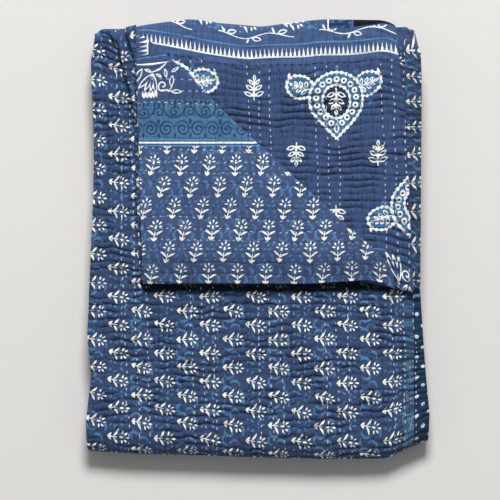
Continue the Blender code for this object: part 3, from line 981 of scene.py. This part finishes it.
def start_cloth(name, zero=0.0):
    """A material with x and y in millimetres, y counted from a zero, and the ridges' phase and bite."""
    material = bpy.data.materials.new(name)
    material.use_nodes = True
    tree = material.node_tree
    values = []
    for title, size in (("print_map", 1000.0), ("ridge_map", 1.0)):
        uv_node, parts = tree.nodes.new("ShaderNodeUVMap"), tree.nodes.new("ShaderNodeSeparateXYZ")
        uv_node.uv_map = title
        tree.links.new(uv_node.outputs[0], parts.inputs[0])
        values += [Field(tree, parts.outputs[0]) * size, Field(tree, parts.outputs[1]) * size]
    x, s, phase, bite = values
    return material, x, s - zero, phase, bite


def finish_cloth(material, colour, x, y, phase, bite, across, along, streaks=1.2, stitched=1.0):
    """Weave, stitches and painted crease shade over a print's colour, the bump from the same heights, and the
    shader.
    """
    tree = material.node_tree
    tone, weave_height = apply_group(weave, x, y, streaks)
    shade, ridge_height = apply_group(creases, phase, bite, across)
    white, dark, stitch_height = apply_group(stitches, across, along, phase)
    # Painted shade: the crease group's shade multiplies the colour, darker in each crease and on one side of
    # each ridge.
    colour = mixed(1.0, colour, grey(tone * shade), "MULTIPLY")
    threads = (white * stitched * 0.85, dye(214, 222, 228)), (dark * stitched * 0.8, NIGHT)
    colour = layered(colour, *threads)
    shader = tree.nodes["Principled BSDF"]
    tree.links.new(colour.socket, shader.inputs["Base Color"])
    for title, value in COTTON.items():
        shader.inputs[title].default_value = value
    bump = tree.nodes.new("ShaderNodeBump")
    bump.inputs["Strength"].default_value = 1.0
    bump.inputs["Distance"].default_value = MM
    tree.links.new((weave_height + ridge_height + stitch_height).socket, bump.inputs["Height"])
    tree.links.new(bump.outputs[0], shader.inputs["Normal"])
    print(len(tree.nodes), "nodes in", material.name)


# %% [markdown]
# ## The buti cloth
# This is the cloth of the front face, the outside of the folds and the underside. Its butis lie on their
# side, because the cloth was cut lengthwise. Along its right selvedge two narrow patches are sewn on: one
# barred with light blue and flowered further down, and one of dark cotton with off-white dots. A strip below
# the flap's lower edge is painted nearly black: a painted shadow for the gap there, which is deeper in a
# loose real packet.

# %% Buti cloth, with its two patches
buti_cloth, x, y, phase, bite = start_cloth("indigo_buti_cloth", START[FRONT] - BOTTOM_TURN_Y)
wx, wy = apply_group(wobble, x, y)
cream, blue, outline = apply_group(field_of_butis, wx - 0.1, wy + 0.1, BUTI_PITCH, -0.13)
printed = layered(WASHED_INDIGO, (blue, DULL_SKY), (outline * 0.75, SHADE), (cream, CREAM))

PATCH_X, DOTTED_X, PATCH_TOP, PATCH_END, FLOWERS_TOP = 168.1, 182.4, -66.0, -330.0, -142.0
low = inside(PATCH_TOP - y) * inside(y - PATCH_END)
_, off = nearest(wy, 17.4, -79.0)
bar = inside(3.0 - abs(off), 0.8)
sprinkle = noise(x / 2.6, y / 5.0, 1.0, 23.0)
cluster = noise(x / 11.0, y / 13.0, 0.0, 47.0)
flower = inside(0.028 - abs(sprinkle[0] - 0.48), 0.03) * inside(cluster[0] - 0.5, 0.06)
flowered = inside(FLOWERS_TOP - y, 3.0)
patch = layered(
    dye(47, 69, 102),
    (bar * (1.0 - flowered), dye(66, 104, 140)),
    (flowered * inside(cluster[1] - 0.52, 0.08), dye(57, 92, 126)),
    (flower * flowered * 0.5, dye(186, 200, 206)),
)

stagger, off_x = nearest(x, 7.0, 185.3)
_, off_y = nearest(y - odd(stagger) * 13.0, 26.0, -86.0)
knot = inside(2.3 - length_of(off_x, off_y), 0.5)
dotted = mixed(knot, TEAL_NIGHT, dye(206, 216, 222))
seams = larger(inside(0.5 - abs(x - PATCH_X)), inside(0.5 - abs(x - DOTTED_X))) * low
# Painted shadow: a strip of the cloth below the flap's lower edge is drawn nearly black, for the shade in the
# gap there.
GAP_Y, GAP_X = (-59.5, -20.0), (-131.0, 158.0)
painted_shadow_under_flap = within(y, *GAP_Y, 3.0) * within(x, *GAP_X, 5.0)
colour = layered(
    printed,
    (inside(x - PATCH_X) * low, patch),
    (inside(x - DOTTED_X) * low, dotted),
    (seams * 0.7, NIGHT),
    (painted_shadow_under_flap * 0.88, dye(4, 9, 20)),
)
finish_cloth(buti_cloth, colour, x, y, phase, bite, x, y)

# %% [markdown]
# ## The field
# The wide plain side of the bedspread has scattered shields, each a circle drawn out to a point, and each
# second row hangs upside down. Sprigs stand between them. A border crosses its end: spires, a thin line and
# a vine that goes round the top edge, where some lining shows at the right. The far part of that lining is
# painted nearly black, a painted shade for the ply behind it. A lily stands beside the lower end of the
# turned corner. Both rows are drawn at once, by turning the lower one over.

# %% A scalloped shield with its two side leaves
shield, (u, v) = new_group("scalloped_shield", ["Across", "Up"], ["White", "Ground", "Dark"])
ROUND, TIP = 31.7, 45.5
SCALLOP, BEAD_ROW, BEAD_PITCH, BEAD_DEPTH = 5.9, 22.9, 8.55, 8.8
SIN_TIP = ROUND / TIP
COS_TIP = math.sqrt(1.0 - SIN_TIP**2)
side = abs(u)
past = v * -COS_TIP - side * SIN_TIP
below = inside(past, 0.01)
reach, turn = length_of(u, v), side.math("ARCTAN2", v)
line_depth = v * SIN_TIP - side * COS_TIP + ROUND
depth = (ROUND - reach) * (1.0 - below) + line_depth * below
TURN_END = math.pi / 2 + math.asin(SIN_TIP)
walk = turn * (1.0 - below) + (past / ROUND + TURN_END) * below
rim = (walk * (ROUND / SCALLOP * 2 * math.pi)).math("COSINE") * 0.6 + 1.4 - abs(depth - 1.0)
track = walk * BEAD_ROW * (1.0 - below) + (past + TURN_END * BEAD_ROW) * below
_, off = nearest(track, BEAD_PITCH)
from_bead = length_of(off, depth - BEAD_DEPTH)
at_tip = inside(3.4 - side, 0.01) * inside(v * -1.0 - 27.0, 0.01)
bead = smaller(3.4 - from_bead, from_bead - 1.4) * (1.0 - at_tip) - at_tip
tip_bead = petal(side, v, (0.0, -32.5), 90.0, 5.6, 3.0)
oval_u, oval_v = side / 16.7, (v + 2.3) / 20.2
oval = (1.0 - length_of(oval_u, oval_v)) * 18.4
oval_turn = oval_u.math("ARCTAN2", oval_v)
oval_rim = (oval_turn * 20.0).math("COSINE") * 0.55 + 1.3 - abs(oval - 1.2)
(inner_sprig,) = apply_group(sprig, u * 1.06, (v + 2.4) * -0.95)

lobe_u, lobe_v = abs(u + 2.8) - 38.8, v - 15.6
lobe = (1.0 - length_of(lobe_u / 16.6, (lobe_v - lobe_u * 0.12) / 14.2)) * 15.0
lobe_rim = (lobe_u.math("ARCTAN2", lobe_v) * 16.0).math("COSINE") * 0.6 + 1.3 - abs(lobe - 1.0)
spike = petal(lobe_u, lobe_v, (12.6, 12.6), 100.0, 4.2, 1.5)
leaf_u, leaf_v = lobe_u * 0.30 - lobe_v * 0.95, lobe_u * 0.95 + lobe_v * 0.30
(lobe_sprig,) = apply_group(sprig, leaf_u * -1.35, leaf_v * 1.15)
on_shield, on_lobe = inside(larger(depth, rim)), inside(larger(lobe, lobe_rim))
beads = larger(smaller(bead, oval * -1.0), ring(tip_bead, 1.5))
lobe_white = larger(inside(larger(lobe_rim, spike)), lobe_sprig * inside(lobe - 3.0))
white = larger(inside(larger(rim, oval_rim, beads)), inner_sprig * inside(oval - 3.0)) * on_shield
white = larger(white, lobe_white * (1.0 - on_shield))
hole = inside(1.4 - from_bead) * inside(oval * -1.0) * (1.0 - at_tip)
give_out(shield, white, larger(on_shield, on_lobe), larger(inside(oval - 1.2), hole) * on_shield)

# %% The field cloth
field_cloth, x, y, phase, bite = start_cloth("indigo_field_cloth", START[FLAP] - FLAP_TURN_Y)
wx, wy = apply_group(wobble, x, y)
SHIELD_PITCH, ROW_A_Y, ROW_B_Y = 187.9, 163.4, 39.5
SPIRES_Y, TOP_LINE_Y, LOW_LINE_Y = 213.3, (226.3, 227.7), (-12.9, -11.5)
VINE_START_Y, VINE_Y, LEAF_PITCH = 229.0, 238.0, 29.0
turned_over = inside((ROW_A_Y + ROW_B_Y) / 2 - wy, 0.01)
_, u = nearest(wx - turned_over * (SHIELD_PITCH / 2), SHIELD_PITCH, 92.3)
lean = smaller(larger((x * -1.0 - 5.0) / 50.0, 0.0), 1.0)
v = (wy - ROW_A_Y - lean * 3.0) * (1.0 - turned_over) + (ROW_B_Y - wy) * turned_over
white, ground, dark = apply_group(shield, u, v)
(tall_sprig,) = apply_group(sprig, SHIELD_PITCH / 2 - abs(u), v - 14.6)
number, u_middle = nearest(wx, SHIELD_PITCH / 2, 46.7)
(middle_sprig,) = apply_group(sprig, u_middle, (wy - 99.8) * (odd(number) * 2.0 - 1.0))
star_u, star_v = abs(abs(u) - 22.6), v - 30.0
fleur = larger(
    petals(star_u, star_v, (1.4, 0.5, 50, 3.0, 1.1), (0.0, 1.0, 90, 3.6, 1.3)),
    petals(abs(u), v, (0.0, 35.0, 90, 3.0, 2.0), (0.0, -50.5, 90, 3.4, 1.2)),
    petals(abs(abs(u) - 39.0), v, (0.0, -5.0, 90, 4.6, 1.5), (2.0, -3.5, 35, 2.6, 1.0)),
)
(spire_row,) = apply_group(spires, wx, y - SPIRES_Y)
line_top = between(y + (wx - x) * 0.15, *TOP_LINE_Y)
line_low = between(wy, *LOW_LINE_Y)
vine_y = y - VINE_Y - (wx / (2 * LEAF_PITCH) * 2 * math.pi).math("SINE") * 2.6
vine_number, vine_u = nearest(wx, LEAF_PITCH)
vine_flip = odd(vine_number) * 2.0 - 1.0
leaf = petal(vine_u, vine_y * vine_flip, (1.0, 3.6), 28.0, 6.4, 2.4)
bud = petal(vine_u, vine_y * vine_flip, (-9.0, 2.6), 120.0, 3.4, 1.2)
vine = larger(ring(leaf, 1.2), 0.55 - abs(vine_y), bud)
luck = noise(vine_number * 5.3, vine_number * 2.1, 0.0, 53.0)[0]
border = inside(y - VINE_START_Y) * inside(luck - 0.4, 0.01)
TOP_PRINT_Y, LINING_X = 241.5, 83.0
top_print, top_blue, _ = apply_group(field_of_butis, wx + 9.0, wy - 251.0, BUTI_PITCH, 0.0)
above = inside(y - TOP_PRINT_Y)
beyond = inside(x - LINING_X)
_, off = nearest(wx, 8.4)
tacking = inside(smaller(0.6 - abs(y - 204.2 + (wx - x) * 0.4), 2.1 - abs(off)))
lily_u, lily_v = x - 165.0, y + 40.0
blades = petals(
    lily_u,
    lily_v,
    (-8.4, 13.5, 122, 15.5, 3.4),
    (-4.2, 13.8, 107, 14.2, 3.0),
    (-0.6, 13.6, 92, 13.6, 3.0),
    (6.0, -2.0, 50, 5.0, 2.0),
    (12.5, -5.0, 100, 6.0, 2.2),
)
tendril = spiral(lily_u - 8.2, lily_v - 10.0, 5.0, 0.75, 6.0)
stalk = petal(lily_u, lily_v, (7.5, -9.0), -42.0, 12.0, 0.9)
lily = larger(ring(blades, 1.3), smaller(blades, lily_v - 21.0), tendril, stalk)

ground_dye = mixed(inside(y - 204.0, 5.0), FIELD_INDIGO, BORDER_INDIGO)
in_field = inside(y) * inside(208.0 - y)
on_ground = larger(white, tall_sprig * (1.0 - ground), middle_sprig * (1.0 - ground)) * in_field
lined = above * beyond
streak = inside(noise(x / 9.0, y / 4.0, 2.0, 59.0)[0] - 0.52, 0.15)
lining = mixed(streak, dye(26, 50, 84), dye(60, 98, 140))
# Painted shade: the far part of the lining at the top right is drawn nearly black, for the ply behind the
# droop that lies in shadow.
painted_shade_behind_top = lined * inside(larger(y - 251.0, smaller(y - 242.5, x - 112.0)), 1.0)
colour = layered(
    ground_dye,
    (inside(fleur) * 0.8, dye(66, 114, 156)),
    (ground, STEEL),
    (dark, dye(34, 48, 84)),
    (on_ground, CREAM),
    (inside(larger(line_top, line_low)) * 0.9, SKY),
    (above * top_blue, DULL_SKY),
    (lined, lining),
    (painted_shade_behind_top, dye(6, 12, 24)),
    (inside(0.8 - abs(x - LINING_X)) * inside(y - 240.0), CREAM),
    (tacking * 0.85, NIGHT),
    (larger(spire_row, inside(vine) * border * (1.0 - lined)), CREAM),
    (larger(above * top_print * (1.0 - beyond), inside(lily) * inside(-14.0 - y)), CREAM),
)
finish_cloth(field_cloth, colour, x, y, phase, bite, x + 3.6, y, 3.0, inside(205.0 - y))

# %% [markdown]
# ## The turned corner
# The turned corner shows another piece of patchwork: a strip with a lotus vine, a band of light-blue scrolls
# and then upright butis below a white line. Its ply is turned by a right angle, so its stitches run across.

# %% The corner's patchwork
corner_cloth, x, y, phase, bite = start_cloth("indigo_corner_cloth", START[FLAP] - FLAP_TURN_Y)
wx, wy = apply_group(wobble, x, y)
cream, blue, outline = apply_group(field_of_butis, wy + 64.76, wx + 70.39, 24.96, 0.09)

LINES_LOW, BAND_LOW, BAND_HIGH, STRIP_END, CURL_PITCH = 107.0, 114.8, 158.0, 205.0, 17.8
number, off = nearest(wx, CURL_PITCH, -120.0)
high_number, high = nearest(wx, CURL_PITCH, -111.1)
curls = larger(
    spiral(off * (odd(number) * 2.0 - 1.0), wy - 126.5, 4.6, 0.95, 8.8),
    spiral(high * (1.0 - odd(high_number) * 2.0), 144.5 - wy, 4.2, 0.9, 6.6),
)
_, wide = nearest(wx, CURL_PITCH * 2, -111.1)
arch = 0.9 - abs(length_of(wide, wy - 151.0) - 12.5)
wide, off = abs(wide), abs(off)
buds = larger(
    petals(wide, wy, (0.0, 154.0, 90, 3.6, 1.7), (4.6, 154.5, 50, 3.4, 1.3)),
    petals(CURL_PITCH - wide, wy, (0.0, 153.5, 90, 3.8, 1.9), (4.8, 154.5, 130, 3.6, 1.4)),
    petal(CURL_PITCH - wide, wy, (0.0, 134.5), 90.0, 3.6, 1.7),
    petal(CURL_PITCH / 2 - off, wy, (0.0, 119.5), 90.0, 3.0, 1.5),
)
mottle = noise(x / 9.0, y / 9.0, 2.0, 29.0)[0]
drawn = inside(larger(curls, arch, buds), 0.5) * 0.88
scrolls = layered(dye(60, 102, 140), (inside(mottle - 0.5), PALE_SKY), (drawn, dye(34, 52, 90)))
edge_lines = inside(larger(between(y, 106.9, 108.2), between(y, 113.6, BAND_LOW)))

strip = inside(y - BAND_HIGH)
lotus_u, lotus_v = wx + 136.7, wy - 189.0
lotus_petals = petals(
    lotus_u,
    lotus_v,
    (-8.3, -8.0, 44, 11.8, 3.2),
    (-4.6, -9.6, 63, 11.0, 2.8),
    (-1.2, -10.0, 82, 10.6, 2.8),
    (2.2, -12.0, 98, 12.6, 2.6),
)
scallops = abs((lotus_u * 0.8).math("SINE")) * 2.4
calyx = smaller(between(lotus_u, -12.0, 5.6), between(lotus_v + scallops, -25.0, -19.6))
swirl = spiral(wx + 124.8, wy - 174.6, 5.2, 0.8, 6.6)
vine_leaves = petals(
    wx,
    wy,
    (-114.4, 179.3, 80, 6.6, 2.9),
    (-109.5, 166.8, -6, 6.6, 2.5),
    (-121.4, 188.4, 100, 5.4, 2.0),
    (-110.6, 191.0, 24, 5.0, 2.0),
    (-129.7, 186.2, -30, 4.2, 1.7),
    (-141.5, 192.3, 155, 4.6, 1.7),
    (-152.5, 188.0, 60, 9.0, 3.0),
)
stalks = petals(
    wx,
    wy,
    (-138.0, 199.6, 0, 22.0, 1.0, -0.003),
    (-119.5, 169.0, -14, 10.0, 0.9, 0.02),
    (-128.4, 193.6, 28, 12.0, 1.0, -0.02),
    (-115.6, 171.0, 60, 5.0, 0.9),
)
lotus = larger(ring(lotus_petals, 1.3), ring(vine_leaves, 1.25), swirl, stalks, calyx)
(turned_spires,) = apply_group(spires, wy, x * -1.0 - 142.3)
turned_spires = turned_spires * within(y, 210.5, 236.0)
colour = layered(
    CORNER_INDIGO,
    (blue, DULL_SKY),
    (outline * 0.6, SHADE),
    (cream, CREAM),
    (within(y, BAND_LOW, BAND_HIGH), scrolls),
    (within(y, LINES_LOW, BAND_LOW), INDIGO),
    (edge_lines, SKY),
    (within(y + (wx - x) * 0.1, 110.0, 112.0), CREAM),
    (strip, INDIGO),
    (inside(larger(between(y, 206.6, 207.9), between(x, -158.4, -157.0))) * strip, SKY),
    (larger(inside(lotus) * inside(STRIP_END - y), turned_spires) * strip, CREAM),
)
finish_cloth(corner_cloth, colour, x, y, phase, bite, y + 2.6, x, 1.2, 0.75)

# %% The hems: the same indigo, with no print
hem_cloth, x, y, phase, bite = start_cloth("indigo_hem_cloth")
worn_edge = noise(x / 4.0, y / 4.0, 2.0, 31.0)[0]
colour = mixed(inside(worn_edge - 0.62, 0.2) * 0.6, INDIGO, SKY)
finish_cloth(hem_cloth, colour, x, y, phase, bite, x, y)
for cloth in (buti_cloth, field_cloth, corner_cloth, hem_cloth):
    mesh.materials.append(cloth)
print("materials:", [cloth.name for cloth in mesh.materials])

# %% Hand the piece to the frame
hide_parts("bedspread")
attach(bedspread, "root")

# %% [markdown]
# ## Camera, table and light
# The bedspread lies on pale linen and is seen from straight above, through a long lens, so that the top ply
# isn't drawn larger than the bottom one. One large soft light stands beyond the packet's far edge: it rakes
# across the ridges and leaves a broad soft shadow along the near edge.

# %% A long lens straight above
VIEW_WIDTH = 0.575
CAMERA_HEIGHT = 7.0
camera_data = bpy.data.cameras.new("camera")
camera_data.lens_unit = "FOV"
camera_data.angle = 2 * math.atan(VIEW_WIDTH / 2 / (CAMERA_HEIGHT - 0.045))
camera_data.clip_end = 50.0
bpy.context.scene.camera = add_object("camera", camera_data, (-0.0086, -0.0120, CAMERA_HEIGHT))
print(f"the view is {math.degrees(camera_data.angle):.2f} degrees wide")

# %% The table and its light
light_data = bpy.data.lights.new("window", "AREA")
light_data.shape, light_data.size, light_data.energy = "DISK", 1.6, 262.0
light_data.color = (1.0, 0.995, 0.985)
WINDOW_AT = np.array((0.12, 3.2, 3.8))
light = add_object("window", light_data, WINDOW_AT)
tilt = math.acos(WINDOW_AT[2] / np.linalg.norm(WINDOW_AT))
light.rotation_euler = (tilt, 0.0, math.atan2(-WINDOW_AT[1], -WINDOW_AT[0]) - math.pi / 2)
bpy.context.scene.view_settings.view_transform = "Standard"
world = bpy.data.worlds.new("room")
bpy.context.scene.world = world
world.use_nodes = True
sky = world.node_tree.nodes["Background"].inputs
sky["Color"].default_value, sky["Strength"].default_value = (1.0, 1.0, 1.0, 1.0), 0.27

table_mesh = bpy.data.meshes.new("table")
table_mesh.from_pydata([(-3, -3, 0), (3, -3, 0), (3, 3, 0), (-3, 3, 0)], [], [(0, 1, 2, 3)])
table_material = bpy.data.materials.new("pale_linen_table")
table_material.use_nodes = True
linen = table_material.node_tree.nodes["Principled BSDF"].inputs
linen["Base Color"].default_value = (0.72, 0.71, 0.69, 1.0)
linen["Roughness"].default_value = 0.9
table_mesh.materials.append(table_material)
table = add_object("table", table_mesh)
table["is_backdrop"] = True

# %% Print the two boxes and finish
shown_box = [list(corner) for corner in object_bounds()]
for title, box in (("solid", cad_box), ("shown", shown_box)):
    print(title, np.round(np.multiply(box, 1000), 1).tolist())
